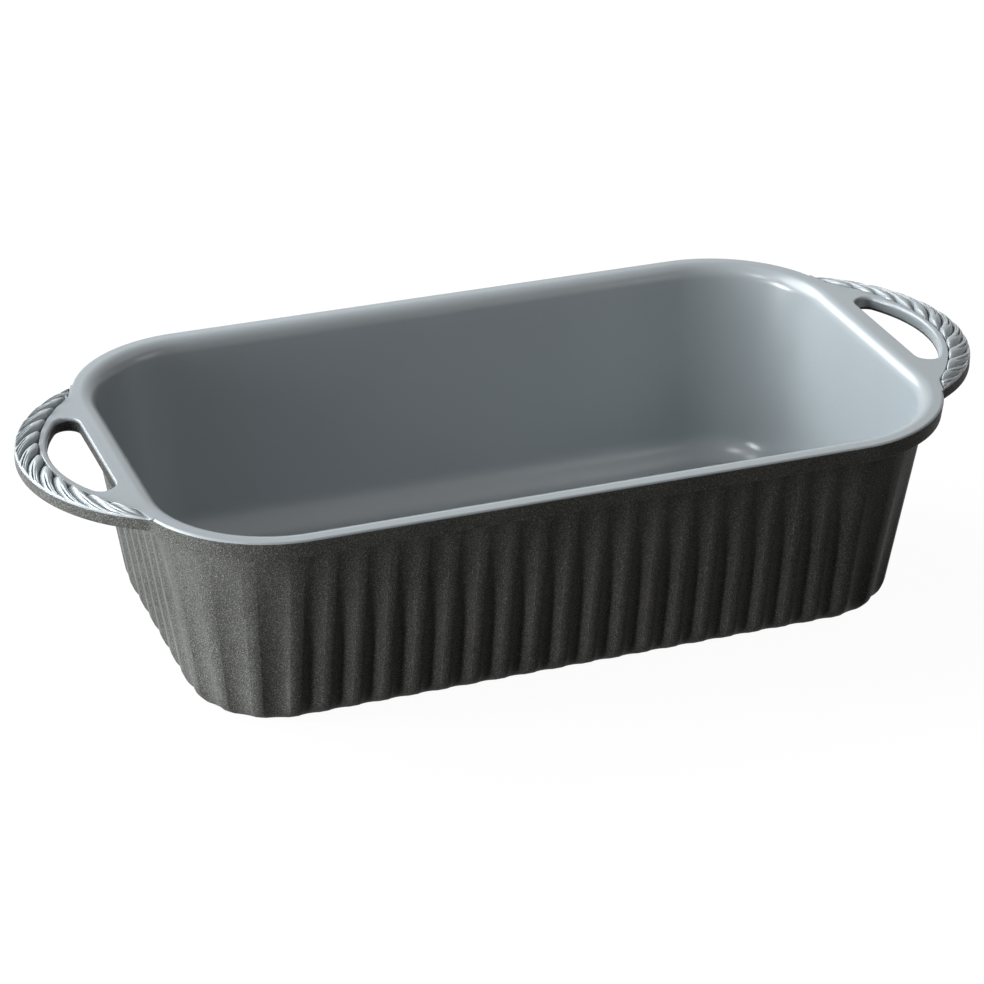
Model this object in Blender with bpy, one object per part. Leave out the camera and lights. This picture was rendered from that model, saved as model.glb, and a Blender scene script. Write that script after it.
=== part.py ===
"""Cast loaf pan with fluted walls, a flat rim and a rope edged loop handle at each end.

Metres, +Z up. The origin is the middle of the base, on the surface that the pan stands on.
X runs along the pan, with the handles at its two ends, and Y runs across it.
"""
import math

import bmesh
import bpy

# Rim: the flat flange round the mouth
RIM_LENGTH = 0.2500
RIM_WIDTH = 0.1464
RIM_CORNER = 0.0416
RIM_DEPTH = 0.0055
RIM_DRAFT = 0.0006
PAN_HEIGHT = 0.0672
PLATEAU = 0.0030
LIP_RADIUS = 0.0050

# Walls and floor
RIM_OVERHANG = 0.0052
WALL_LEAN = math.radians(9.0)
BASE_ROUND = 0.0085
CAVITY_LEAN = math.radians(10.2)
CAVITY_ROUND = 0.0110
FLOOR = 0.0036

# Non-stick coat inside the casting, and the gap that neighbouring pieces keep
LINING = 0.0006
GAP = 0.0003

# Flutes: counts along one long side, round one corner and along one end
SIDE_FLUTES = 18.5
CORNER_FLUTES = 4.0
END_FLUTES = 5.5
FLUTE_SHARE = 0.56
FLUTE_DEPTH = 0.0012

# Handles: a loop that reaches past the rim, with a D shaped finger hole
HANDLE_REACH = 0.0240
HANDLE_RADIUS = 0.0520
ROOT_FLARE = 0.0014
HANDLE_DEPTH = 0.0044
HOLE_LENGTH = 0.0490
HOLE_CORNER = 0.0040
RIB_WIDTH = 0.0024

# Rope moulding on the outer edge of each handle
ROPE_WIDTH = 0.0070
ROPE_ROOT_WIDTH = 0.0036
ROPE_SEAT = 0.0020
ROPE_CROWN = 0.0010
ROPE_EDGE = 0.0012
ROPE_GROOVE = 0.0011
ROPE_LOBES = 12
ROPE_SLANT = 0.0140
ROPE_END = 0.0020

# Facets
CORNER_STEPS = 10
ROUND_STEPS = 4
HANDLE_STEPS = 15
LOBE_STEPS = 4
ROPE_STRIPS = 4

RIM_TOP = PAN_HEIGHT
WALL_TOP = PAN_HEIGHT - RIM_DEPTH - GAP

MIN_CORNER = 0.002
BISECTIONS = 60


def steps(start, end, count):
    """Give count + 1 evenly spaced values from start to end."""
    return [start + (end - start) * i / count for i in range(count + 1)]


def root_of(function, low, high):
    """Find where a function that is positive at low and negative at high crosses zero."""
    for _ in range(BISECTIONS):
        middle = (low + high) / 2
        if function(middle) > 0:
            low = middle
        else:
            high = middle
    return (low + high) / 2


# Plan outlines: rounded rectangles that lie a given inset inside the rim's edge

def corner_radius(inset):
    """Give the plan corner radius of the outline at an inset."""
    return max(RIM_CORNER - inset, MIN_CORNER)


def plain_outline(inset):
    """List the plan points of a smooth outline, anticlockwise from the +X end."""
    radius = corner_radius(inset)
    half_x = RIM_LENGTH / 2 - inset - radius
    half_y = RIM_WIDTH / 2 - inset - radius
    points = []
    for quarter, (sx, sy) in enumerate(((1, 1), (-1, 1), (-1, -1), (1, -1))):
        for turn in steps(0, math.pi / 2, CORNER_STEPS):
            angle = quarter * math.pi / 2 + turn
            points.append((sx * half_x + radius * math.cos(angle), sy * half_y + radius * math.sin(angle)))
    return points


def flute_stretches(inset):
    """List the outline's stretches, anticlockwise from the +X end: flute count, and a point on each."""
    radius = corner_radius(inset)
    half_x = RIM_LENGTH / 2 - inset - radius
    half_y = RIM_WIDTH / 2 - inset - radius

    def end(sign):
        return lambda t: (sign * (half_x + radius), sign * half_y * (2 * t - 1), 0 if sign > 0 else math.pi)

    def side(sign):
        lean = math.pi / 2 if sign > 0 else -math.pi / 2
        return lambda t: (sign * half_x * (1 - 2 * t), sign * (half_y + radius), lean)

    def corner(sx, sy, first):
        def point(t):
            angle = first + t * math.pi / 2
            return (sx * half_x + radius * math.cos(angle), sy * half_y + radius * math.sin(angle), angle)
        return point

    return [
        (END_FLUTES, end(1)),
        (CORNER_FLUTES, corner(1, 1, 0)),
        (SIDE_FLUTES, side(1)),
        (CORNER_FLUTES, corner(-1, 1, math.pi / 2)),
        (END_FLUTES, end(-1)),
        (CORNER_FLUTES, corner(-1, -1, math.pi)),
        (SIDE_FLUTES, side(-1)),
        (CORNER_FLUTES, corner(1, -1, 3 * math.pi / 2)),
    ]


def fluted_outline(inset, depth):
    """List the plan points of an outline with hollow flutes between flat lands, one amid each end."""
    stretches = flute_stretches(inset)
    whole = sum(count for count, _ in stretches)
    flutes = round(whole)
    half = FLUTE_SHARE / 2
    hollow = ((-half, 0.0), (-half / 3, 1.0), (half / 3, 1.0), (half, 0.0))
    points = []
    for flute in range(flutes):
        for offset, share in hollow:
            place = ((flute + offset) * whole / flutes + END_FLUTES / 2) % whole
            for count, point_at in stretches:
                if place <= count:
                    break
                place -= count
            x, y, angle = point_at(place / count)
            points.append((x - share * depth * math.cos(angle), y - share * depth * math.sin(angle)))
    return points


# Sections: pairs of inset from the rim's edge and height

def wall_section():
    """List inset, height and flute depth from the base's flat face up the outside to the rim."""
    tangent = math.tan(WALL_LEAN)
    inset_at_round = RIM_OVERHANG + (WALL_TOP - BASE_ROUND) * tangent
    centre = inset_at_round + BASE_ROUND / math.cos(WALL_LEAN)
    section = []
    for turn in steps(math.pi / 2, WALL_LEAN, ROUND_STEPS - 1):
        inset = centre - BASE_ROUND * math.cos(turn)
        height = BASE_ROUND * (1 - math.sin(turn))
        run_out = math.sqrt(1 - math.sin(turn))
        section.append((inset, height, FLUTE_DEPTH * run_out * (1 - height / WALL_TOP)))
    section.append((RIM_OVERHANG, WALL_TOP, 0.0))
    return section


def cavity_section(behind):
    """List inset and height down the cavity, a distance behind its surface, from lip to floor."""
    lip = LIP_RADIUS - behind
    section = []
    for turn in steps(math.pi / 2, CAVITY_LEAN, ROUND_STEPS):
        section.append((PLATEAU + lip * math.cos(turn), RIM_TOP - LIP_RADIUS + lip * math.sin(turn)))
    round_height = FLOOR + CAVITY_ROUND
    wall_start = PLATEAU + LIP_RADIUS * math.cos(CAVITY_LEAN)
    wall_drop = RIM_TOP - LIP_RADIUS + LIP_RADIUS * math.sin(CAVITY_LEAN) - round_height
    centre = wall_start + wall_drop * math.tan(CAVITY_LEAN) + CAVITY_ROUND / math.cos(CAVITY_LEAN)
    radius = CAVITY_ROUND + behind
    for turn in steps(CAVITY_LEAN, math.pi / 2, ROUND_STEPS):
        section.append((centre - radius * math.cos(turn), round_height - radius * math.sin(turn)))
    return section


# Mesh helpers

def add_ring(mesh, points, height):
    """Add a level ring of vertices."""
    return [mesh.verts.new((x, y, height)) for x, y in points]


def bridge(mesh, lower, upper):
    """Join two closed rings of equal count with quads."""
    count = len(lower)
    for i in range(count):
        j = (i + 1) % count
        mesh.faces.new((lower[i], lower[j], upper[j], upper[i]))


def fill_between(mesh, outer, inner):
    """Fill the level face between two closed rings of unlike count."""
    edges = []
    for ring in (outer, inner):
        for i, vertex in enumerate(ring):
            edges.append(mesh.edges.get((vertex, ring[(i + 1) % len(ring)])))
    bmesh.ops.triangle_fill(mesh, use_beauty=True, edges=edges)


def finish_mesh(mesh, name):
    """Turn a closed bmesh into mesh data with its faces out and round stretches shaded smooth."""
    bmesh.ops.recalc_face_normals(mesh, faces=mesh.faces)
    if mesh.calc_volume(signed=True) < 0:
        bmesh.ops.reverse_faces(mesh, faces=mesh.faces)
    data = bpy.data.meshes.new(name)
    mesh.to_mesh(data)
    mesh.free()
    data.shade_smooth()
    data.set_sharp_from_angle(angle=math.radians(35))
    return data


# Sub-parts

def tub_mesh():
    """Model the floor and the fluted walls, open at the top, up to the underside of the rim."""
    mesh = bmesh.new()
    outside = [add_ring(mesh, fluted_outline(inset, depth), height) for inset, height, depth in wall_section()]
    for lower, upper in zip(outside, outside[1:]):
        bridge(mesh, lower, upper)
    mesh.faces.new(outside[0])
    behind = LINING + GAP
    below_lip = cavity_section(behind)[ROUND_STEPS + 1:]
    top_inset = PLATEAU + (LIP_RADIUS - behind) * math.cos(CAVITY_LEAN)
    lip_end = RIM_TOP - LIP_RADIUS + (LIP_RADIUS - behind) * math.sin(CAVITY_LEAN)
    top_inset += (lip_end - WALL_TOP) * math.tan(CAVITY_LEAN)
    inside = [add_ring(mesh, plain_outline(top_inset), WALL_TOP)]
    inside += [add_ring(mesh, plain_outline(inset), height) for inset, height in below_lip]
    for upper, lower in zip(inside, inside[1:]):
        bridge(mesh, upper, lower)
    mesh.faces.new(inside[-1])
    fill_between(mesh, outside[-1], inside[0])
    return finish_mesh(mesh, "tub_casting")


def rim_mesh():
    """Model the flange round the mouth, with a rounded rebate that the lining's lip lies in."""
    mesh = bmesh.new()
    behind = LINING + GAP
    rebate = cavity_section(behind)[:ROUND_STEPS + 1]
    rim_bottom = RIM_TOP - RIM_DEPTH
    inner_inset = rebate[-1][0] + (rebate[-1][1] - rim_bottom) * math.tan(CAVITY_LEAN)
    section = [(RIM_DRAFT, rim_bottom), (0.0, RIM_TOP), (PLATEAU - GAP, RIM_TOP)]
    section += [(PLATEAU - GAP, rebate[0][1])] + rebate + [(inner_inset, rim_bottom)]
    rings = [add_ring(mesh, plain_outline(inset), height) for inset, height in section]
    for ring, following in zip(rings, rings[1:] + rings[:1]):
        bridge(mesh, ring, following)
    return finish_mesh(mesh, "rim_flange")


def lining_mesh():
    """Model the smooth coat that covers the cavity and turns over the lip onto the rim."""
    mesh = bmesh.new()
    section = cavity_section(LINING)[::-1] + cavity_section(0.0)
    rings = [add_ring(mesh, plain_outline(inset), height) for inset, height in section]
    for ring, following in zip(rings, rings[1:]):
        bridge(mesh, ring, following)
    mesh.faces.new(rings[0])
    mesh.faces.new(rings[-1])
    return finish_mesh(mesh, "nonstick_lining")


# Handle plan, in the handle's own frame: X out from the rim's end, Y along it, Z up from its top

ARC_CENTRE = HANDLE_REACH - HANDLE_RADIUS
HOLE_RADIUS = HANDLE_RADIUS - ROPE_WIDTH - RIB_WIDTH


def root_x(y):
    """Give where the handle ends against the rim, one gap outside the rim's edge."""
    past = abs(y) - (RIM_WIDTH / 2 - RIM_CORNER)
    if past <= 0:
        return GAP
    return math.sqrt(max((RIM_CORNER + GAP) ** 2 - past ** 2, 0.0)) - RIM_CORNER


def arc_point(radius, angle):
    """Give the plan point on an arc about the handle's centre."""
    return (ARC_CENTRE + radius * math.cos(angle), radius * math.sin(angle))


def root_angle(radius):
    """Find the angle at which an edge of the handle, of this radius there, meets the rim."""
    def clearance(angle):
        x, y = arc_point(radius, angle)
        return x - root_x(y)
    return root_of(clearance, 0.0, math.pi / 2)


def outer_radius(place):
    """Give the radius of the handle's outer edge at a place from -1 to 1, flared at its roots."""
    return HANDLE_RADIUS + ROOT_FLARE * abs(place) ** 8


def rope_inner_radius(place):
    """Give the radius of the rope's inner edge at a place from -1 to 1 along the handle."""
    width = ROPE_WIDTH + (ROPE_ROOT_WIDTH - ROPE_WIDTH) * abs(place) ** 3
    return outer_radius(place) - width


OUTER_ROOT = root_angle(outer_radius(1.0))
RIB_ROOT = root_angle(rope_inner_radius(1.0))


def outer_point(place):
    """Give the plan point on the handle's outer edge at a place from -1 to 1."""
    return arc_point(outer_radius(place), place * OUTER_ROOT)


def rib_point(place, clearance=0.0):
    """Give the plan point on the rope's inner edge at a place from -1 to 1."""
    return arc_point(rope_inner_radius(place) + clearance, place * RIB_ROOT)


def hole_corner():
    """Give the finger hole's corner radius, limited to what the hole's end has room for."""
    half = HOLE_LENGTH / 2

    def room(radius):
        reach = (HOLE_RADIUS - radius) ** 2 - (half - radius) ** 2
        return ARC_CENTRE + math.sqrt(max(reach, 0.0)) - radius
    if room(HOLE_CORNER) > 0:
        return HOLE_CORNER
    return root_of(room, 0.0, HOLE_CORNER)


def hole_edge():
    """List the finger hole's plan points from the rim, round the loop, and back to the rim."""
    radius = hole_corner()
    corner_y = HOLE_LENGTH / 2 - radius
    corner_x = ARC_CENTRE + math.sqrt((HOLE_RADIUS - radius) ** 2 - corner_y ** 2)
    arc_end = math.atan2(corner_y, corner_x - ARC_CENTRE)
    near_start = math.pi - math.acos(1 - GAP / radius)
    half = []
    for angle in steps(near_start, math.pi / 2, ROUND_STEPS):
        half.append((radius + radius * math.cos(angle), corner_y + radius * math.sin(angle)))
    for angle in steps(math.pi / 2, arc_end, ROUND_STEPS)[1:]:
        half.append((corner_x + radius * math.cos(angle), corner_y + radius * math.sin(angle)))
    for angle in steps(arc_end, 0.0, HANDLE_STEPS // 2)[1:]:
        half.append(arc_point(HOLE_RADIUS, angle))
    return half + [(x, -y) for x, y in half[-2::-1]]


def path_places(points):
    """Give each point's place from 1 to -1 by its distance along the path."""
    distances = [0.0]
    for (x0, y0), (x1, y1) in zip(points, points[1:]):
        distances.append(distances[-1] + math.hypot(x1 - x0, y1 - y0))
    return [1 - 2 * distance / distances[-1] for distance in distances]


def between(first, second, share):
    """Give the plan point a share of the way from the first point to the second."""
    return (first[0] + (second[0] - first[0]) * share, first[1] + (second[1] - first[1]) * share)


def on_rim(point):
    """Move a plan point at the handle's root onto the line one gap outside the rim."""
    return (root_x(point[1]), point[1])


def handle_mesh():
    """Model one loop handle: a plate with a finger hole and a ledge that carries the rope."""
    mesh = bmesh.new()
    edge = hole_edge()
    sections = []
    for index, (place, hole) in enumerate(zip(path_places(edge), edge)):
        rib, outer = rib_point(place), outer_point(place)
        plan = [hole, between(hole, rib, 0.5), rib, between(rib, outer, 0.5), outer]
        if index in (0, len(edge) - 1):
            plan = [on_rim(point) for point in plan]
        bottom = [mesh.verts.new((x, y, -HANDLE_DEPTH)) for x, y in plan]
        ledge = [mesh.verts.new((x, y, -ROPE_SEAT)) for x, y in plan[:1:-1]]
        top = [mesh.verts.new((x, y, 0.0)) for x, y in plan[2::-1]]
        sections.append(bottom + ledge + top)
    for section, following in zip(sections, sections[1:]):
        bridge(mesh, section, following)
    for b0, b1, b2, b3, b4, l4, l3, l2, t2, t1, t0 in (sections[0], sections[-1]):
        mesh.faces.new((b0, b1, t1, t0))
        mesh.faces.new((b1, b2, l2, t2, t1))
        mesh.faces.new((b2, b3, l3, l2))
        mesh.faces.new((b3, b4, l4, l3))
    return finish_mesh(mesh, "loop_handle")


def rope_height(across, lobe):
    """Give the rope's height over the handle's ledge, across its width and along one lobe."""
    crown = math.sin(math.pi * across) ** 0.7
    hollow = ROPE_GROOVE * (1 - math.sin(math.pi * lobe))
    return ROPE_EDGE + (ROPE_SEAT + ROPE_CROWN - ROPE_EDGE - hollow) * crown


def rope_mesh():
    """Model the rope moulding: slanted lobes along the handle's outer edge, on its ledge."""
    mesh = bmesh.new()
    arc_length = HANDLE_RADIUS * OUTER_ROOT
    reach = 1 - ROPE_END / arc_length
    slant = ROPE_SLANT / arc_length
    sections = []
    for index, middle in enumerate(steps(reach, -reach, ROPE_LOBES * LOBE_STEPS)):
        lobe = (index % LOBE_STEPS) / LOBE_STEPS
        top = []
        floor = []
        for across in steps(0.0, 1.0, ROPE_STRIPS):
            place = middle + slant * (across - 0.5) * (1 - (middle / reach) ** 2)
            x, y = between(rib_point(place, GAP), outer_point(place), across)
            top.append(mesh.verts.new((x, y, rope_height(across, lobe) - ROPE_SEAT)))
            floor.append(mesh.verts.new((x, y, GAP - ROPE_SEAT)))
        sections.append(floor + top[::-1])
    for section, following in zip(sections, sections[1:]):
        bridge(mesh, section, following)
    for section in (sections[0], sections[-1]):
        for i in range(ROPE_STRIPS):
            mesh.faces.new((section[i], section[i + 1], section[-2 - i], section[-1 - i]))
    return finish_mesh(mesh, "rope_moulding")


# Finishes and assembly

def coat(name, colour, roughness, metallic):
    """Make one coat as a Principled material."""
    material = bpy.data.materials.new(name)
    material.use_nodes = True
    shader = material.node_tree.nodes["Principled BSDF"]
    shader.inputs["Base Color"].default_value = (*colour, 1.0)
    shader.inputs["Roughness"].default_value = roughness
    shader.inputs["Metallic"].default_value = metallic
    return material


def place(name, data, material, parent, location=(0.0, 0.0, 0.0), turn=0.0):
    """Add one sub-part to the scene under its parent."""
    piece = bpy.data.objects.new(name, data)
    if not data.materials:
        data.materials.append(material)
    piece.location = location
    piece.rotation_euler = (0.0, 0.0, turn)
    piece.parent = parent
    bpy.context.scene.collection.objects.link(piece)


def main():
    """Clear the scene and assemble the pan."""
    for old in list(bpy.data.objects):
        bpy.data.objects.remove(old, do_unlink=True)
    pan = bpy.data.objects.new("pan", None)
    bpy.context.scene.collection.objects.link(pan)

    textured = coat("textured_coat", (0.060, 0.062, 0.062), 0.55, 0.3)
    rim_coat = coat("rim_coat", (0.110, 0.125, 0.135), 0.45, 0.3)
    smooth = coat("smooth_coat", (0.180, 0.205, 0.225), 0.33, 0.3)
    handle_coat = coat("handle_coat", (0.130, 0.145, 0.155), 0.40, 0.3)
    rope_coat = coat("rope_coat", (0.200, 0.220, 0.235), 0.35, 0.3)

    place("tub_casting", tub_mesh(), textured, pan)
    place("rim_flange", rim_mesh(), rim_coat, pan)
    place("nonstick_lining", lining_mesh(), smooth, pan)
    handle, rope = handle_mesh(), rope_mesh()
    for side, sign, turn in (("left", -1, math.pi), ("right", 1, 0.0)):
        end = (sign * RIM_LENGTH / 2, 0.0, RIM_TOP)
        place(side + "_handle", handle, handle_coat, pan, end, turn)
        place(side + "_rope_moulding", rope, rope_coat, pan, end, turn)


main()
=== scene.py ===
"""Looks of a cast loaf pan: fine meshes, coats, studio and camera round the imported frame.

Metres, +Z up. The origin is the middle of the base, X runs through both handles and Y across.
"""
import logging
import math
from dataclasses import dataclass
from enum import Enum
from functools import cached_property
from typing import ClassVar, Sequence

import bmesh
import bpy
import numpy as np
from mathutils import Matrix, Vector


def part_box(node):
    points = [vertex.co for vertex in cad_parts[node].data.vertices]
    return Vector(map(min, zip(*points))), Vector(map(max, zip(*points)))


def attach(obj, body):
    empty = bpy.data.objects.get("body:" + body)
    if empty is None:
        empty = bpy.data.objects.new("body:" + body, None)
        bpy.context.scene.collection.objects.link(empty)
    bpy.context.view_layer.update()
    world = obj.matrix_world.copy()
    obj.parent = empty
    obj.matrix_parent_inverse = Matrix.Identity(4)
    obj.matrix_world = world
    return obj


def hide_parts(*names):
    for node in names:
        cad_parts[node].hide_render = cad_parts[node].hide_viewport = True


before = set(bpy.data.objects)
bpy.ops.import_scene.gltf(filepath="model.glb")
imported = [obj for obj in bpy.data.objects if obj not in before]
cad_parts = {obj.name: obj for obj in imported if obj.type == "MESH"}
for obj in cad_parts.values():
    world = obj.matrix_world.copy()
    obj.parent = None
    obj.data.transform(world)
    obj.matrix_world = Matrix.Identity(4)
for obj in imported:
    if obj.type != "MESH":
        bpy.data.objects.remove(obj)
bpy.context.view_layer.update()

Pair = tuple[float, float]
Triple = tuple[float, float, float]
Socket = bpy.types.NodeSocket
Inputs = dict[str | int, object]

LOG = logging.getLogger("loaf_pan")
BODY = "root"
RIGHT_ANGLE = math.pi / 2
# Points closer together than this become one
MERGE = 2e-7
# Shares of a run that a rounded corner, and of the rest that the flat beside it, may take up
CORNER_SHARE = 0.49
BESIDE_SHARE = 0.45
# Turn of the first step on the cavity's lip, which keeps it level with the rim
LEVEL_TURN = 0.004
# Halvings that find where an arc meets the rim
HALVINGS = 50
# Places past those of the loop, which run from -1 to 1
ROOT = 1.5
ALONG_RIM = 2.0


class Coat(Enum):
    """Coats of the casting, numbered as the material slots of every piece."""

    SMOOTH = 0
    TEXTURED = 1


class End(Enum):
    """Ends of the pan, as the sign of X that their handle lies at."""

    LEFT = -1
    RIGHT = 1

    @property
    def word(self) -> str:
        """Give the word that the CAD nodes of this end start with."""
        return self.name.lower()


# How far down the finger hole's flank the smooth coat reaches
SMOOTH_FLANK = {End.LEFT: 0.0013, End.RIGHT: 0.0034}


# Number helpers

def ramp(low: float, high: float, value: np.ndarray) -> np.ndarray:
    """Rise smoothly from 0 at low to 1 at high."""
    share = np.clip((np.asarray(value, float) - low) / (high - low), 0.0, 1.0)
    return share * share * (3 - 2 * share)


def arc(centre: Sequence[float], radius: float, start: float, end: float, steps: int) -> np.ndarray:
    """Draw an arc from one angle to another, as rows of two numbers."""
    angles = np.linspace(start, end, steps + 1)
    return np.stack([centre[0] + radius * np.cos(angles), centre[1] + radius * np.sin(angles)], axis=1)


def rounded_path(corners: Sequence[Triple], steps: int, beside: float = 0.0003) -> np.ndarray:
    """Draw an open path of straight runs with rounded corners.

    Args:
        corners: Corner points, each with the radius that rounds it. The two ends stay as they are.
        steps: Steps on each rounded corner.
        beside: Distance from a rounded corner to the points that keep the runs beside it flat.

    Returns:
        Points of the path, as rows of two numbers.
    """
    points = np.array([corner[:2] for corner in corners], float)
    path = [points[0]]
    for i in range(1, len(corners) - 1):
        radius = corners[i][2]
        if radius == 0:
            path.append(points[i])
            continue
        back, ahead = points[i - 1] - points[i], points[i + 1] - points[i]
        runs = np.linalg.norm(back), np.linalg.norm(ahead)
        back, ahead = back / runs[0], ahead / runs[1]
        half = math.acos(float(np.clip(back @ ahead, -1.0, 1.0))) / 2
        reach = min(radius / math.tan(half), CORNER_SHARE * min(runs))
        middle = (back + ahead) / np.linalg.norm(back + ahead)
        centre = points[i] + middle * reach / math.cos(half)
        first, last = points[i] + back * reach - centre, points[i] + ahead * reach - centre
        start = math.atan2(first[1], first[0])
        turn = (math.atan2(last[1], last[0]) - start + math.pi) % (2 * math.pi) - math.pi
        spare = [min(beside, BESIDE_SHARE * (run / 2 - reach)) for run in runs]
        path.append(points[i] + back * (reach + spare[0]))
        path.extend(arc(centre, np.linalg.norm(first), start, start + turn, steps))
        path.append(points[i] + ahead * (reach + spare[1]))
    path.append(points[-1])
    return np.array(path)


def lengths(path: np.ndarray) -> np.ndarray:
    """Give the length of a path from its start up to each of its points."""
    return np.concatenate([[0.0], np.cumsum(np.linalg.norm(np.diff(path, axis=0), axis=1))])


def points_at(path: np.ndarray, ways: np.ndarray) -> np.ndarray:
    """Read points off a path at lengths from its start."""
    return np.stack([np.interp(ways, lengths(path), path[:, k]) for k in range(2)], axis=-1)


def evenly(path: np.ndarray, shares: np.ndarray) -> np.ndarray:
    """Read points off a path at shares of its length."""
    return points_at(path, shares * lengths(path)[-1])


# Meshes

class MeshDraft:
    """Vertices and faces of one closed piece while it is drawn."""

    def __init__(self) -> None:
        """Start with an empty mesh."""
        self.vertices: list[Triple] = []
        self.faces: list[tuple[int, ...]] = []
        self.coats: list[int] = []

    def rows(self, points: np.ndarray) -> np.ndarray:
        """Add a grid of vertices.

        Args:
            points: Positions, as rows by columns by three.

        Returns:
            Indices of the new vertices, as rows by columns.
        """
        first = len(self.vertices)
        self.vertices.extend(map(tuple, points.reshape(-1, 3)))
        return np.arange(first, len(self.vertices)).reshape(points.shape[:2])

    def face(self, corners: Sequence[int], coat: Coat) -> None:
        """Add one face."""
        self.faces.append(tuple(int(corner) for corner in corners))
        self.coats.append(coat.value)

    def skin(self, grid: np.ndarray, coats: Sequence[Coat]) -> None:
        """Cover a grid whose rows are closed rings with quads.

        Args:
            grid: Vertex indices, as rows by columns.
            coats: Coat of the strip that follows each row.
        """
        for lower, upper, coat in zip(grid, grid[1:], coats):
            for i in range(len(lower)):
                j = (i + 1) % len(lower)
                self.face((lower[i], lower[j], upper[j], upper[i]), coat)

    def tube(self, rings: np.ndarray, coat: Coat) -> None:
        """Skin a row of closed rings in one coat and close its two ends.

        Args:
            rings: Positions, as rings by points by three.
            coat: Coat of the whole tube.
        """
        grid = self.rows(rings)
        self.skin(grid, [coat] * len(rings))
        self.face(grid[0], coat)
        self.face(grid[-1], coat)

    def hoop(self, rings: np.ndarray, coats: Sequence[Coat]) -> None:
        """Skin a row of closed rings, the last of which joins the first.

        Args:
            rings: Positions, as rings by points by three.
            coats: Coat of the strip that follows each ring.
        """
        grid = self.rows(rings)
        self.skin(np.concatenate([grid, grid[:1]]), coats)

    def to_object(
        self, name: str, materials: Sequence[bpy.types.Material], crease: float
    ) -> bpy.types.Object:
        """Turn the draft into an object with smooth shading, its faces out.

        Args:
            name: Name of the piece.
            materials: Materials in the order of Coat.
            crease: Angle in degrees above which an edge stays sharp.

        Returns:
            The new object, linked to the scene.
        """
        data = bpy.data.meshes.new(name)
        data.from_pydata(self.vertices, [], self.faces)
        data.polygons.foreach_set("material_index", self.coats)
        mesh = bmesh.new()
        mesh.from_mesh(data)
        bmesh.ops.remove_doubles(mesh, verts=mesh.verts, dist=MERGE)
        bmesh.ops.recalc_face_normals(mesh, faces=mesh.faces)
        if mesh.calc_volume(signed=True) < 0:
            bmesh.ops.reverse_faces(mesh, faces=mesh.faces)
        mesh.to_mesh(data)
        mesh.free()
        for material in materials:
            data.materials.append(material)
        data.shade_smooth()
        data.set_sharp_from_angle(angle=math.radians(crease))
        return link(name, data)


def link(name: str, data: bpy.types.ID) -> bpy.types.Object:
    """Put a mesh, lamp or camera into the scene.

    Args:
        name: Name of the object.
        data: What the object holds.

    Returns:
        The new object.
    """
    holder = bpy.data.objects.new(name, data)
    bpy.context.scene.collection.objects.link(holder)
    return holder


# Sizes

@dataclass(frozen=True)
class PanSizes:
    """Sizes of the pan, read from the frame where the frame shows them."""

    length: float
    width: float
    height: float
    rim_depth: float
    plateau: float
    floor: float
    handle_reach: float
    handle_depth: float
    rope_crown: float
    corner: float = 0.0416
    rim_draft: float = 0.0006
    overhang: float = 0.0052
    lip: float = 0.0050
    lining: float = 0.0006
    wall_lean: float = math.radians(9.0)
    cavity_lean: float = math.radians(10.2)
    base_round: float = 0.0085
    cavity_round: float = 0.0110

    @classmethod
    def from_frame(cls) -> "PanSizes":
        """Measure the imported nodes.

        Returns:
            Sizes that agree with the CAD model.
        """
        rim_low, rim_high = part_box("rim_flange")
        lining_low, lining_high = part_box("nonstick_lining")
        handle_low, handle_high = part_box("right_handle")
        rope_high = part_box("right_rope_moulding")[1]
        return cls(
            length=rim_high.x - rim_low.x,
            width=rim_high.y - rim_low.y,
            height=rim_high.z,
            rim_depth=rim_high.z - rim_low.z,
            plateau=rim_high.x - lining_high.x,
            floor=lining_low.z + cls.lining,
            handle_reach=handle_high.x - rim_high.x,
            handle_depth=rim_high.z - handle_low.z,
            rope_crown=rope_high.z - rim_high.z,
        )


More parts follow.
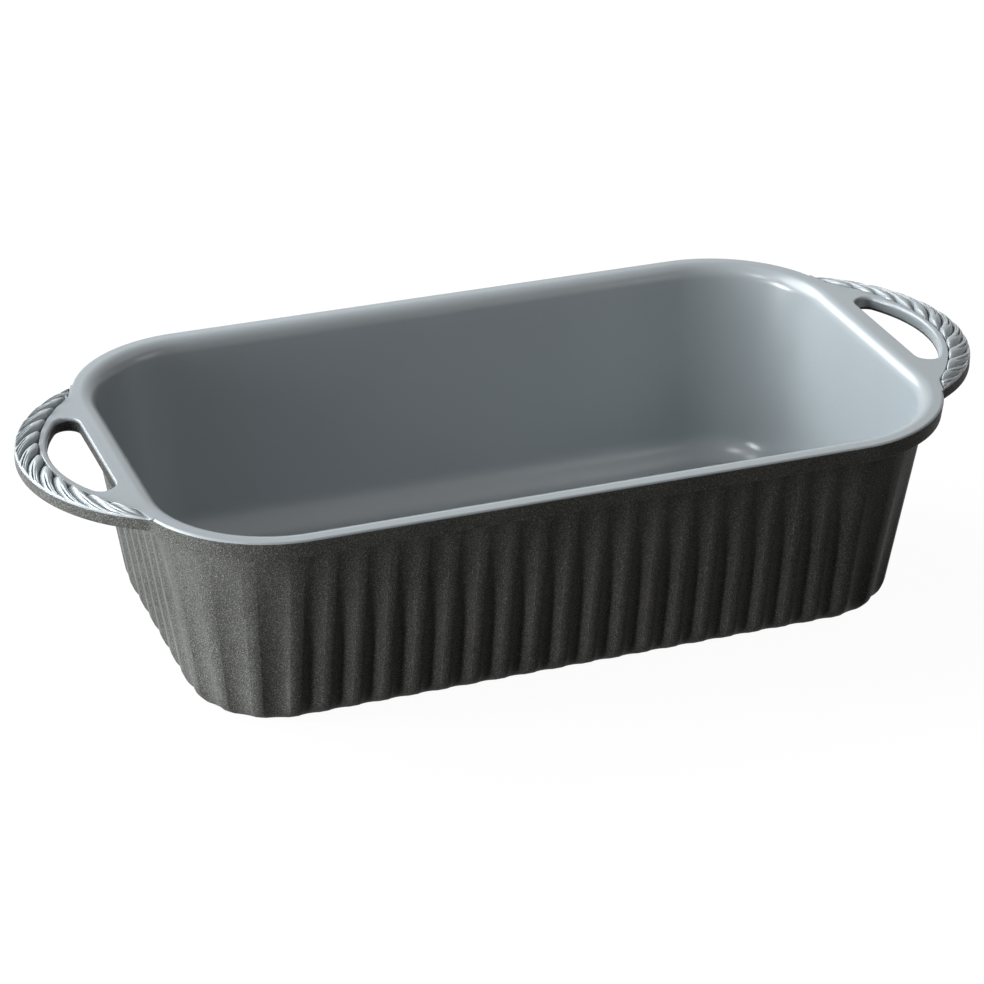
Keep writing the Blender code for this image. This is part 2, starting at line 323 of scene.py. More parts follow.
@dataclass(frozen=True)
class RimLine:
    """Plan points on the rim's outer edge, each with its outward direction."""

    corner_steps: ClassVar[int] = 28
    side_steps: ClassVar[int] = 14
    points: np.ndarray
    outward: np.ndarray

    def ring(self, inset: np.ndarray | float, height: float) -> np.ndarray:
        """Draw a level ring inside the rim's edge, with one inset for all points or one each."""
        plan = self.points - np.reshape(inset, (-1, 1)) * self.outward
        return np.column_stack([plan, np.full(len(plan), height)])

    def rings(self, section: Sequence[Pair]) -> np.ndarray:
        """Draw a ring for each inset and height of a section."""
        return np.stack([self.ring(inset, height) for inset, height in section])

    @classmethod
    def at(cls, sizes: PanSizes, stretches: Sequence[tuple[int, np.ndarray]]) -> "RimLine":
        """Read points off the rim's edge.

        Args:
            sizes: Sizes of the pan.
            stretches: Stretch numbers from 0 to 7, anticlockwise from the +X end, with shares along each.

        Returns:
            The line through those points.
        """
        halves = sizes.length / 2 - sizes.corner, sizes.width / 2 - sizes.corner
        points, outward = [], []
        for stretch, shares in stretches:
            quarter, on_corner = divmod(stretch, 2)
            if on_corner:
                angles = (quarter + shares) * RIGHT_ANGLE
                ways = np.stack([np.cos(angles), np.sin(angles)], axis=1)
                signs = ((1, 1), (-1, 1), (-1, -1), (1, -1))[quarter]
                middles = np.tile(np.multiply(signs, halves), (len(shares), 1))
            else:
                way = np.array(((1, 0), (0, 1), (-1, 0), (0, -1))[quarter], float)
                along = np.array([-way[1], way[0]])
                other, half = halves[::-1] if quarter % 2 else halves
                ways = np.tile(way, (len(shares), 1))
                middles = other * way + np.outer((2 * shares - 1) * half, along)
            points.append(middles + sizes.corner * ways)
            outward.append(ways)
        return cls(np.concatenate(points), np.concatenate(outward))

    @classmethod
    def plain(cls, sizes: PanSizes) -> "RimLine":
        """Draw the whole edge with even steps on each stretch."""
        counts = (cls.side_steps, cls.corner_steps)
        return cls.at(sizes, [(s, np.arange(counts[s % 2]) / counts[s % 2]) for s in range(8)])


def cavity_section(sizes: PanSizes, behind: float, steps: int, wall_steps: int) -> np.ndarray:
    """Draw the cavity's section from its lip to its floor.

    Args:
        sizes: Sizes of the pan.
        behind: Distance behind the surface that shows.
        steps: Steps on each round.
        wall_steps: Steps on the wall between them.

    Returns:
        Insets from the rim's edge and heights.
    """
    lean = sizes.cavity_lean
    lip_middle = (sizes.plateau, sizes.height - sizes.lip)
    lip_round = sizes.lip - behind
    lip = arc(lip_middle, lip_round, RIGHT_ANGLE, lean, steps)
    level = arc(lip_middle, lip_round, RIGHT_ANGLE, RIGHT_ANGLE - LEVEL_TURN, 1)
    lip = np.concatenate([level, lip[1:]])
    round_height = sizes.floor + sizes.cavity_round
    drop = lip_middle[1] + sizes.lip * math.sin(lean) - round_height
    start = sizes.plateau + sizes.lip * math.cos(lean)
    centre = start + drop * math.tan(lean) + sizes.cavity_round / math.cos(lean)
    turns = arc((0.0, 0.0), sizes.cavity_round + behind, lean, RIGHT_ANGLE, steps)
    foot = np.array([centre, round_height]) - turns
    wall = lip[-1] + np.outer(np.linspace(0, 1, wall_steps + 1)[1:-1], foot[0] - lip[-1])
    return np.concatenate([lip, wall, foot])


# Pieces

@dataclass
class PanPiece:
    """What every piece of the pan is made from, and how a finished piece joins the pan's body."""

    crease: ClassVar[float] = 50.0
    sizes: PanSizes
    materials: Sequence[bpy.types.Material]

    def hand_in(self, draft: MeshDraft, name: str, node: str, slot: str) -> None:
        """Let a finished draft stand for a CAD node and ride on the pan's body.

        Args:
            draft: Mesh of the piece.
            name: Name of the piece.
            node: CAD node that it stands for.
            slot: Not used.
        """
        piece = draft.to_object(name, self.materials, self.crease)
        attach(piece, BODY)
        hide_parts(node)
        LOG.info("%s: %d faces, stands for %s", piece.name, len(piece.data.polygons), node)


@dataclass
class Rim(PanPiece):
    """Flat flange round the mouth, smooth on top and textured on its side."""

    edge_round: float = 0.0008
    lower_round: float = 0.0005
    smooth_down_to: float = 0.0005
    round_steps: int = 6

    def build(self) -> None:
        """Build the flange as one closed ring."""
        sizes = self.sizes
        bottom = sizes.height - sizes.rim_depth
        rebate = cavity_section(sizes, sizes.lining, self.round_steps, 1)[: self.round_steps + 2]
        inner = rebate[-1][0] + (rebate[-1][1] - bottom) * math.tan(sizes.cavity_lean)
        outside = rounded_path(
            [
                ((sizes.rim_draft + inner) / 2, bottom, 0.0),
                (sizes.rim_draft, bottom, self.lower_round),
                (0.0, sizes.height, self.edge_round),
                (sizes.plateau, sizes.height, 0.0),
            ],
            self.round_steps,
        )
        section = np.concatenate([outside, rebate, [(inner, bottom)]])
        heights = (section[:, 1] + np.roll(section[:, 1], -1)) / 2
        limit = sizes.height - self.smooth_down_to
        coats = [Coat.SMOOTH if height > limit else Coat.TEXTURED for height in heights]
        draft = MeshDraft()
        draft.hoop(RimLine.plain(sizes).rings(section), coats)
        self.hand_in(draft, "rim", "rim_flange", "rim_coat")


@dataclass
class CavityCoat(PanPiece):
    """Smooth coat that covers the cavity and turns over its lip."""

    round_steps: int = 18
    wall_steps: int = 12
    floor_margin: float = 0.003

    def build(self) -> None:
        """Build the coat as one closed shell."""
        sizes = self.sizes
        front = cavity_section(sizes, 0.0, self.round_steps, self.wall_steps)
        back = cavity_section(sizes, sizes.lining, self.round_steps, self.wall_steps)[::-1]
        margin = np.array([[self.floor_margin, 0.0]])
        section = np.concatenate([back[:1] + margin, back, front, front[-1:] + margin])
        draft = MeshDraft()
        draft.tube(RimLine.plain(sizes).rings(section), Coat.SMOOTH)
        self.hand_in(draft, "cavity_coat", "nonstick_lining", "smooth_coat")


@dataclass
class FlutedTub(PanPiece):
    """Floor and walls of the casting, with hollow flutes between flat lands outside."""

    # Flutes on an end, a corner and a side
    flutes_on: Triple = (5.5, 4.0, 18.5)
    flute_share: float = 0.70
    flute_depth: float = 0.0014
    # Shares of the wall's height, from the rim down, in which the flutes die away
    end_fade: float = 0.20
    corner_fade: float = 1.00
    side_fade: float = 0.60
    fade_power: float = 0.8
    under_rim_round: float = 0.0016
    coat_gap: float = 0.0002
    floor_margin: float = 0.004
    hollow_steps: int = 14
    wall_steps: int = 12
    round_steps: int = 9

    def line(self) -> tuple[RimLine, np.ndarray, np.ndarray]:
        """Lay out the flutes.

        Returns:
            Points on the rim's edge that follow the flutes, each point's share of the flute's depth,
            and the share of the wall's height in which the flute there dies away.
        """
        end, corner, side = self.flutes_on
        counts = np.array([end, corner, side, corner] * 2)
        starts = np.concatenate([[0.0], np.cumsum(counts)])
        whole = starts[-1]
        half = self.flute_share / 2
        hollow = half * np.sin(np.linspace(-0.5, 0.5, self.hollow_steps + 1) * math.pi)
        offsets = np.concatenate([hollow, [0.5]])
        shares = np.clip(1 - (offsets / half) ** 2, 0.0, 1.0)
        flutes = round(whole)
        places = (((np.arange(flutes)[:, None] + offsets) * whole / flutes + end / 2) % whole).ravel()
        stretch = np.searchsorted(starts, places, side="right") - 1
        along = (places - starts[stretch]) / counts[stretch]
        pairs = [(int(s), np.array([t])) for s, t in zip(stretch, along)]
        quarter, bent = np.divmod(stretch, 2)
        straight = np.array([self.end_fade, self.side_fade] * 2)
        fades = straight[quarter] + (np.roll(straight, -1) - straight)[quarter] * bent * along
        fades += (self.corner_fade - fades) * bent * np.sin(math.pi * along)
        return RimLine.at(self.sizes, pairs), np.tile(shares, flutes), fades

    def wall_section(self) -> list[Triple]:
        """Draw the outside from the base up to the rim's underside.

        Returns:
            Insets, heights and flute depths.
        """
        sizes = self.sizes
        lean = sizes.wall_lean
        top = sizes.height - sizes.rim_depth
        start = sizes.overhang + (top - sizes.base_round) * math.tan(lean)
        centre = start + sizes.base_round / math.cos(lean)
        section = []
        for turn in np.linspace(RIGHT_ANGLE, lean, self.round_steps + 1):
            inset = centre - sizes.base_round * math.cos(turn)
            height = sizes.base_round * (1 - math.sin(turn))
            section.append((inset, height, self.flute_depth * math.sqrt(1 - math.sin(turn))))
        bend = self.under_rim_round
        high = top - bend * math.tan((RIGHT_ANGLE - lean) / 2) * math.cos(lean)
        _, low, depth = section[-1]
        for height in np.linspace(low, high, self.wall_steps + 1)[1:]:
            section.append((sizes.overhang + (top - height) * math.tan(lean), height, depth))
        inset, height, _ = section[-1]
        middle = (inset - bend * math.cos(lean), height - bend * math.sin(lean))
        under = arc(middle, bend, lean, RIGHT_ANGLE, self.round_steps - 1)[1:]
        return section + [(inset, height, 0.0) for inset, height in under]

    def build(self) -> None:
        """Build the casting as one closed body that is open at the top."""
        sizes = self.sizes
        line, shares, fades = self.line()
        section = self.wall_section()
        top = section[-1][1]
        rings = [line.ring(section[0][0] + self.floor_margin, 0.0)]
        for inset, height, depth in section:
            left = np.clip((1 - height / top) / fades, 0.0, 1.0) ** self.fade_power
            rings.append(line.ring(inset + shares * depth * left, height))
        behind = sizes.lining + self.coat_gap
        inside = cavity_section(sizes, behind, self.round_steps, 2)[self.round_steps + 2:]
        reach = inside[0][0] - (top - inside[0][1]) * math.tan(sizes.cavity_lean)
        margin = inside[-1:] + [[self.floor_margin, 0.0]]
        inside = line.rings(np.concatenate([[(reach, top)], inside, margin]))
        draft = MeshDraft()
        draft.tube(np.concatenate([rings, inside]), Coat.TEXTURED)
        self.hand_in(draft, "fluted_tub", "tub_casting", "textured_coat")


@dataclass
class HandlePlan:
    """Plan of one loop handle: X out from the rim's end, Y along it."""

    sizes: PanSizes
    radius: float = 0.0520
    root_fillet: float = 0.0040
    hole_length: float = 0.0490
    hole_corner: float = 0.0040
    hole_straight: float = 0.0009
    rib_width: float = 0.0021
    rope_width: float = 0.0073
    rope_root_width: float = 0.0039
    rope_taper: int = 3
    rope_end: float = 0.0012
    tongue: float = 0.0012
    bridge_inside: float = 0.0020
    bridge_reach: float = 0.0240
    arc_steps: int = 160
    fillet_steps: int = 24
    hole_steps: int = 120
    corner_steps: int = 40

    @property
    def centre(self) -> float:
        """Give where the loop's arcs are centred."""
        return self.sizes.handle_reach - self.radius

    @property
    def corner_middle(self) -> np.ndarray:
        """Give where the rim's corner at +Y is centred."""
        return np.array([-self.sizes.corner, self.sizes.width / 2 - self.sizes.corner])

    def edge_x(self, y: np.ndarray, inside: float = 0.0) -> np.ndarray:
        """Give where the rim's edge, or a line inside it, lies.

        Args:
            y: Places along the rim's end.
            inside: Distance inside the edge.

        Returns:
            X of the line at each place.
        """
        corner = self.sizes.corner
        past = np.clip(np.abs(y) - self.corner_middle[1], 0.0, corner - inside)
        return np.sqrt((corner - inside) ** 2 - past**2) - corner

    def arc_point(self, radius: np.ndarray, angle: np.ndarray) -> np.ndarray:
        """Give plan points about the loop's centre."""
        return np.stack([self.centre + radius * np.cos(angle), radius * np.sin(angle)], axis=-1)

    def root_angle(self, radius: float) -> float:
        """Find the angle at which an arc of the loop meets the rim.

        Args:
            radius: Radius of the arc.

        Returns:
            The angle from the X axis.
        """
        low, high = 0.0, RIGHT_ANGLE
        for _ in range(HALVINGS):
            middle = (low + high) / 2
            x, y = self.arc_point(np.array(radius), np.array(middle))
            if x > self.edge_x(y):
                low = middle
            else:
                high = middle
        return low

    @cached_property
    def outer_path(self) -> np.ndarray:
        """Draw the outer edge from its middle to the rim at +Y, with a fillet where it meets the rim.

        Returns:
            Plan points of the edge.
        """
        near, far = self.radius + self.root_fillet, self.sizes.corner + self.root_fillet
        across = self.corner_middle - [self.centre, 0.0]
        apart = float(np.linalg.norm(across))
        along = (near**2 - far**2 + apart**2) / (2 * apart)
        side = np.array([-across[1], across[0]]) / apart
        fillet = np.array([self.centre, 0.0]) + along * across / apart
        fillet = fillet - math.sqrt(near**2 - along**2) * side
        turn = math.atan2(fillet[1], fillet[0] - self.centre)
        landing = self.corner_middle - fillet
        first, last = turn - math.pi, math.atan2(landing[1], landing[0])
        return np.concatenate([
            arc((self.centre, 0.0), self.radius, 0.0, turn, self.arc_steps),
            arc(fillet, self.root_fillet, first, last, self.fillet_steps)[1:],
        ])

    @cached_property
    def outer_length(self) -> float:
        """Give the length of the outer edge from its middle to the rim."""
        return float(lengths(self.outer_path)[-1])

    @property
    def rope_reach(self) -> float:
        """Give the place where the rope ends."""
        return 1 - self.rope_end / self.outer_length

    def outer(self, place: np.ndarray) -> np.ndarray:
        """Give plan points on the outer edge at places from -1 to 1."""
        sides = np.stack([np.ones_like(place), np.sign(place)], axis=-1)
        return evenly(self.outer_path, np.abs(place)) * sides

    def rib(self, place: np.ndarray) -> np.ndarray:
        """Give plan points on the rope's inner edge.

        Args:
            place: Places along the loop, from -1 to 1.

        Returns:
            Plan points.
        """
        narrowed = (self.rope_root_width - self.rope_width) * np.abs(place) ** self.rope_taper
        root = self.root_angle(self.radius - self.rope_root_width)
        return self.arc_point(self.radius - (self.rope_width + narrowed), place * root)

    def hole(self, rim_stations: int, loop_stations: int) -> tuple[np.ndarray, np.ndarray]:
        """Draw the finger hole's edge, first round the loop from +Y to -Y and then along the rim.

        Args:
            rim_stations: Points along the rim.
            loop_stations: Points round the loop.

        Returns:
            Plan points on the edge, and the directions that point out of the hole there.
        """
        corner, steps = self.hole_corner, self.corner_steps
        loop = self.radius - self.rope_width - self.rib_width
        corner_y = self.hole_length / 2 - corner
        corner_x = self.centre + math.sqrt((loop - corner) ** 2 - corner_y**2)
        rim_x = self.hole_straight + corner
        end = math.atan2(corner_y, corner_x - self.centre)
        # The stretch along the rim starts halfway round the corners beside it
        split = 1.5 * RIGHT_ANGLE
        half = np.concatenate([
            arc((rim_x, corner_y), corner, split, RIGHT_ANGLE, steps),
            arc((corner_x, corner_y), corner, RIGHT_ANGLE, end, steps),
            arc((self.centre, 0.0), loop, end, 0.0, self.hole_steps)[1:],
        ])
        loop_path = np.concatenate([half, half[-2::-1] * [1, -1]])
        rim_path = np.concatenate([
            arc((rim_x, -corner_y), corner, -split, -math.pi, steps),
            arc((rim_x, corner_y), corner, math.pi, split, steps),
        ])
        round_loop = evenly(loop_path, np.linspace(0, 1, loop_stations))
        along_rim = evenly(rim_path, np.linspace(0, 1, rim_stations + 2))[1:-1]
        whole = np.concatenate([round_loop, along_rim])
        ways = np.roll(whole, -1, axis=0) - np.roll(whole, 1, axis=0)
        outward = np.stack([-ways[:, 1], ways[:, 0]], axis=1)
        return whole, outward / np.linalg.norm(outward, axis=1, keepdims=True)

    def along_rim(self, count: int) -> np.ndarray:
        """Give plan points inside the rim's edge, behind the hole from -Y to +Y."""
        y = np.linspace(-self.bridge_reach, self.bridge_reach, count)
        return np.stack([np.full(count, -self.bridge_inside), y], axis=1)

    def rim_outward(self, point: np.ndarray) -> np.ndarray:
        """Give the outward direction of the rim's edge beside a plan point.

        Args:
            point: Plan point on the handle.

        Returns:
            Direction in plan, of length 1.
        """
        past = math.copysign(max(abs(point[1]) - self.corner_middle[1], 0.0), point[1])
        way = np.array([point[0] + self.sizes.corner, past])
        return way / np.linalg.norm(way)

    def inside_rim(self, points: np.ndarray) -> np.ndarray:
        """Move plan points of a root inside the rim's edge."""
        return np.stack([self.edge_x(points[..., 1], self.tongue), points[..., 1]], axis=-1)


@dataclass(frozen=True)
class SeatLevels:
    """How far the rope's seat lies below the rim's top, and how wide its outer lip is."""

    floor: float = 0.0013
    outer: float = 0.0003
    lip: float = 0.0009


@dataclass
class HandlePiece(PanPiece):
    """Piece of one handle, drawn with X out, Y along and Z up from the rim's top."""

    plan: HandlePlan
    seat: SeatLevels

    def stand_at(self, end: End, points: np.ndarray) -> np.ndarray:
        """Move points from the handle's own frame to its end of the pan."""
        turned = points * [end.value, end.value, 1]
        return turned + [end.value * self.sizes.length / 2, 0.0, self.sizes.height]


@dataclass
class LoopHandle(HandlePiece):
    """Loop handle with a finger hole, a rib round it and a seat for the rope."""

    smooth_flank: float
    # Steps of a few microns that keep the handle's top and the rim's top apart
    lift: float = 0.000012
    least_seat: float = 0.000003
    hole_round: float = 0.0011
    root_round: float = 0.0005
    edge_round: float = 0.0004
    lower_round: float = 0.0007
    # As round as the runs beside it allow, and as sharp as keeps its points apart
    rib_round: float = 1.0
    buried_round: float = 1e-7
    rib_slope: float = 0.0004
    beside: float = 0.0003
    # Largest shares of the seat's width that its outer lip and its inner slope take up
    lip_share: float = 0.4
    slope_share: float = 0.3
    # Places where the seat starts to rise and is level, counted from the rope's end
    seat_rise: Pair = (-0.005, 0.012)
    # Places from which the hole's edge gets sharper and the side leans as the rim's does
    sharper_from: float = 0.85
    lean_from: float = 0.7
    # Where the smooth coat ends, in depths of the seat and in rounds of the outer edge
    smooth_seat: float = 1.2
    smooth_edge: float = 0.6
    side_margin: float = 0.2
    loop_stations: int = 181
    rim_stations: int = 121
    round_steps: int = 6

    def section(self, rib: float, outer: float, place: float) -> np.ndarray:
        """Draw the loop's section at one place.

        Args:
            rib: Distance from the hole to the rope's inner edge.
            outer: Distance from the hole to the outer edge.
            place: Place along the loop, from -1 to 1, or ROOT or ALONG_RIM.

        Returns:
            Distances from the hole and heights, as a ring.
        """
        away, width = abs(place), outer - rib
        top, bottom = self.lift, -self.sizes.handle_depth
        rise_from, rise_to = (self.plan.rope_reach + step for step in self.seat_rise)
        sunk = float(1 - ramp(rise_from, rise_to, away))
        shelf = -self.lift if away == ROOT else top
        level = min(shelf, -self.lift if place == ALONG_RIM else top - self.least_seat)
        sharper = float(ramp(self.sharper_from, 1.0, away))
        hole_round = self.hole_round + (self.root_round - self.hole_round) * sharper
        edge = self.buried_round if away > 1 else min(self.edge_round, self.lip_share * width)
        lip = outer - min(self.seat.lip, self.lip_share * width)
        foot = rib + min(self.rib_slope, self.slope_share * width)
        seat_floor = level - self.seat.floor * sunk
        corners = [
            (outer / 2, bottom, 0.0),
            (outer, bottom, self.lower_round),
            (outer, level - self.seat.outer * sunk, edge),
            (lip, seat_floor, 0.0),
            (foot, seat_floor, 0.0),
            (rib, shelf, self.rib_round),
            (0.0, top, hole_round),
            (0.0, bottom, self.lower_round),
            (outer / 2, bottom, 0.0),
        ]
        return rounded_path(corners, self.round_steps, self.beside)[:-1]

    def coat(self, spot: np.ndarray, rib: float, outer: float) -> Coat:
        """Tell which coat a strip of the loop has.

        Args:
            spot: Distance from the hole and height of the strip's middle, at the middle of the loop.
            rib: Distance from the hole to the rope's inner edge there.
            outer: Distance from the hole to the outer edge there.

        Returns:
            The strip's coat.
        """
        down_to = self.smooth_seat * self.seat.floor
        if spot[0] < rib / 2:
            down_to = self.smooth_flank
        elif spot[0] > outer - self.side_margin * self.edge_round:
            down_to = self.seat.outer + self.smooth_edge * self.edge_round
        return Coat.SMOOTH if spot[1] > -down_to else Coat.TEXTURED

    def places(self) -> np.ndarray:
        """Give the place of each station, round the loop and back along the rim."""
        loop = np.linspace(1, -1, self.loop_stations - 2)
        return np.concatenate([[ROOT], loop, [-ROOT], np.full(self.rim_stations, ALONG_RIM)])

    def lines(self) -> np.ndarray:
        """Draw the lines that run round the loop and back along the rim.

        Returns:
            Plan points of the hole's edge, of a line beside it, of the rope's inner edge and of the
            outer edge, as stations by lines by two.
        """
        plan, loop = self.plan, self.loop_stations
        hole, outward = plan.hole(self.rim_stations, loop)
        beside = hole + outward * (self.hole_round + self.beside)
        rim_line = plan.along_rim(self.rim_stations)
        rim_middle = (rim_line + beside[loop:]) / 2
        places = np.clip(self.places()[:loop], -1, 1)
        rib, outer = plan.rib(places), plan.outer(places)
        for edge in (rib, outer):
            edge[[0, -1]] = plan.inside_rim(edge[[0, -1]])
        rib, outer = np.concatenate([rib, rim_middle]), np.concatenate([outer, rim_line])
        return np.stack([hole, beside, rib, outer], axis=1)

    def build(self, end: End) -> None:
        """Build the handle at one end of the pan.

        Args:
            end: End that the handle is cast on.
        """
        lines = self.lines()
        rim_lean = self.sizes.rim_draft / self.sizes.rim_depth
        rows = []
        for points, place in zip(lines, self.places()):
            _, _, rib, outer = lengths(points)
            section = self.section(rib, outer, place)
            plan = points_at(points, section[:, 0])
            lean = rim_lean * float(ramp(self.lean_from, 1.0, abs(place)))
            on_side = np.clip((section[:, 0] - rib) / (outer - rib), 0.0, 1.0)
            plan += np.outer(lean * section[:, 1] * on_side, self.plan.rim_outward(points[3]))
            rows.append(np.column_stack([plan, section[:, 1]]))
        _, _, rib, outer = lengths(lines[self.loop_stations // 2])
        middle = self.section(rib, outer, 0.0)
        spots = (middle + np.roll(middle, -1, axis=0)) / 2
        coats = [self.coat(spot, rib, outer) for spot in spots]
        draft = MeshDraft()
        draft.hoop(self.stand_at(end, np.stack(rows, axis=1)), coats)
        self.hand_in(draft, end.word + "_loop", end.word + "_handle", "handle_coat")


@dataclass
class RopeMoulding(HandlePiece):
    """Twisted rope along the outer edge of one handle."""

    crease: ClassVar[float] = 75.0
    buried: float = 0.0005
    lobes: float = 11.25
    phase: float = 0.53
    spare_lobes: int = 2
    slant: float = 0.0150
    # Shares of the slant that run straight and that turn in at the outer edge
    straight_lay: float = 0.7
    turned_lay: float = 0.3
    # Flatness and steepness of a strand's section
    bulge: Pair = (2.6, 0.75)
    groove: float = 0.95
    # Place across the rope of its highest line, and how square the sections beside it are
    crest: float = 0.25
    inner_square: float = 4.0
    outer_square: float = 2.2
    blunt_end: float = 0.0012
    outer_inset: float = 0.0002
    outer_nip: float = 0.0003
    # Share of the rope's width from which its base rises to the outer edge
    outer_rise: float = 0.80
    # Places over a lobe where a slit is cut, each with its depth
    slits: Sequence[Pair] = ((0.42, 0.00090), (0.68, 0.00025))
    slit_width: float = 0.055
    # Shares of the rope's width over which the slits deepen and run out
    slit_start: Pair = (0.40, 0.75)
    slit_stop: Pair = (0.88, 1.0)
    # Shares of the rope's reach from which rows are crowded and beyond which none are drawn
    packed_from: float = 0.93
    run_on: float = 1.27
    end_square: int = 18
    lobe_steps: int = 36
    across_steps: int = 26

    def profile(self, ahead: float) -> float:
        """Give a strand's share of its full height at a share of the way over its lobe."""
        flat, steep = self.bulge
        return (1 - abs(2 * ahead - 1) ** flat) ** steep

    def crown(self, across: np.ndarray) -> np.ndarray:
        """Give the rope's round section.

        Args:
            across: Shares of the rope's width, from 0 at its inner edge to 1 at its outer edge.

        Returns:
            Shares of the rope's full height.
        """
        inner = (np.clip(self.crest - across, 0.0, None) / self.crest) ** self.inner_square
        outer = (np.clip(across - self.crest, 0.0, None) / (1 - self.crest)) ** self.outer_square
        return np.sqrt(np.clip(1 - inner - outer, 0.0, 1.0))

    def pack_ends(self, places: np.ndarray) -> np.ndarray:
        """Crowd places that run past the rope's ends together before its ends.

        Args:
            places: Places along the handle.

        Returns:
            Places that all lie on the rope.
        """
        share = np.abs(places) / self.plan.rope_reach
        room = 1 - self.packed_from
        past = np.clip(share - self.packed_from, 0.0, None)
        share = np.minimum(share, self.packed_from) + room * (1 - np.exp(-past / room))
        return np.sign(places) * share * self.plan.rope_reach

    def strands(self) -> tuple[np.ndarray, np.ndarray]:
        """Lay out the rows of points that follow the strands.

        Returns:
            The place of each row's middle, and its share of the way over its lobe.
        """
        reach = self.plan.rope_reach
        steps = np.arange((math.ceil(self.lobes) + 2 * self.spare_lobes) * self.lobe_steps + 1)
        whole, lobe = steps // self.lobe_steps, steps % self.lobe_steps / self.lobe_steps
        middles = reach * (1 - 2 * (whole - self.spare_lobes + lobe + self.phase) / self.lobes)
        used = np.abs(middles) < self.run_on * reach
        return middles[used], 1 - lobe[used]

    def build(self, end: End) -> None:
        """Build the rope at one end of the pan.

        Args:
            end: End that the rope lies at.
        """
        seat = self.seat
        across = np.sin(np.linspace(0, RIGHT_ANGLE, self.across_steps + 1)) ** 2
        turn = self.straight_lay * across + self.turned_lay * across**3 - 0.5
        lay = self.slant / self.plan.outer_length * turn
        base = -seat.floor + (seat.floor - seat.outer) * ramp(self.outer_rise, 1.0, across)
        tall = (self.sizes.rope_crown - base) * self.crown(across)
        slit_reach = ramp(*self.slit_start, across) * (1 - ramp(*self.slit_stop, across))
        rings = []
        for middle, ahead in zip(*self.strands()):
            places = self.pack_ends(middle + lay)
            past = np.abs(places / self.plan.rope_reach) ** self.end_square
            fade = np.sqrt(np.clip(1 - past, 0.0, 1.0))
            inner, outer = self.plan.rib(places), self.plan.outer(places)
            width = np.linalg.norm(outer - inner, axis=1)
            corner = (1 - math.sqrt(max(1 - (2 * ahead - 1) ** 2, 0.0))) * fade
            first = self.blunt_end * corner / width
            last = (self.outer_inset + self.outer_nip * corner) / width
            spot = first + across * (1 - first - last)
            plan = inner + (outer - inner) * spot[:, None]
            cuts = sum(deep * math.exp(-(((ahead - at) / self.slit_width) ** 2)) for at, deep in self.slits)
            height = tall * (1 - self.groove * (1 - self.profile(ahead))) - cuts * slit_reach
            top = np.column_stack([plan, base + fade * height])
            floor = np.column_stack([plan, base - self.buried])
            rings.append(np.concatenate([floor, top[::-1]]))
        draft = MeshDraft()
        draft.tube(self.stand_at(end, np.stack(rings)), Coat.SMOOTH)
        self.hand_in(draft, end.word + "_rope", end.word + "_rope_moulding", "rope_coat")


# Coats

class NodeSketch:
    """Short way to add and join nodes in one tree."""

    def __init__(self, tree: bpy.types.NodeTree) -> None:
        """Keep the tree that nodes go into."""
        self.tree = tree

    def add(self, kind: str, inputs: Inputs | None = None, **settings: object) -> bpy.types.Node:
        """Add one node, set its properties and fill its inputs.

        Args:
            kind: Blender's name of the node's type.
            inputs: Values or outputs for its inputs, by name or number.
            settings: Properties of the node.

        Returns:
            The new node.
        """
        node = self.tree.nodes.new(kind)
        for name, value in settings.items():
            setattr(node, name, value)
        self.fill(node, inputs or {})
        return node

    def fill(self, node: bpy.types.Node, inputs: Inputs) -> None:
        """Set inputs of a node or link outputs to them.

        Args:
            node: Node to fill.
            inputs: Values or outputs for its inputs, by name or number.
        """
        for key, value in inputs.items():
            if isinstance(value, Socket):
                self.tree.links.new(value, node.inputs[key])
            else:
                node.inputs[key].default_value = value

    def calc(self, operation: str, first: Socket, second: Socket) -> Socket:
        """Work out one number from two by an operation that Blender names."""
        return self.add("ShaderNodeMath", {0: first, 1: second}, operation=operation).outputs[0]

    def texture(self, kind: str, scale: Socket, **numbers: float) -> bpy.types.Node:
        """Add a texture that is fixed to the object, with numbers for its other inputs."""
        place = self.add("ShaderNodeTexCoord").outputs["Object"]
        return self.add(kind, {**numbers, "Vector": place, "Scale": scale})

    def spread(self, value: Socket, ins: Pair, outs: Pair = (0.0, 1.0)) -> Socket:
        """Map a value from one range to another."""
        ranges = zip(("From Min", "From Max", "To Min", "To Max"), (*ins, *outs))
        return self.add("ShaderNodeMapRange", {"Value": value, **dict(ranges)}).outputs["Result"]

    def blend(self, share: Socket, low: Triple, high: Triple) -> Socket:
        """Mix two colours by the share of the second."""
        inputs = {0: share, 6: (*low, 1.0), 7: (*high, 1.0)}
        return self.add("ShaderNodeMix", inputs, data_type="RGBA").outputs[2]


def new_group(
    name: str, scale: str, usual: float, outputs: Sequence[str]
) -> tuple[NodeSketch, Socket, bpy.types.Node]:
    """Start a shader node group.

    Args:
        name: Name of the group.
        scale: Name of its one input, the scale of its texture.
        usual: Usual value of that input.
        outputs: Names of its outputs.

    Returns:
        The sketch of its tree, the socket that gives the scale and its output node.
    """
    tree = bpy.data.node_groups.new(name, "ShaderNodeTree")
    kind = "NodeSocketFloat"
    tree.interface.new_socket(scale, in_out="INPUT", socket_type=kind).default_value = usual
    for socket in outputs:
        tree.interface.new_socket(socket, in_out="OUTPUT", socket_type=kind)
    sketch = NodeSketch(tree)
    return sketch, sketch.add("NodeGroupInput").outputs[scale], sketch.add("NodeGroupOutput")


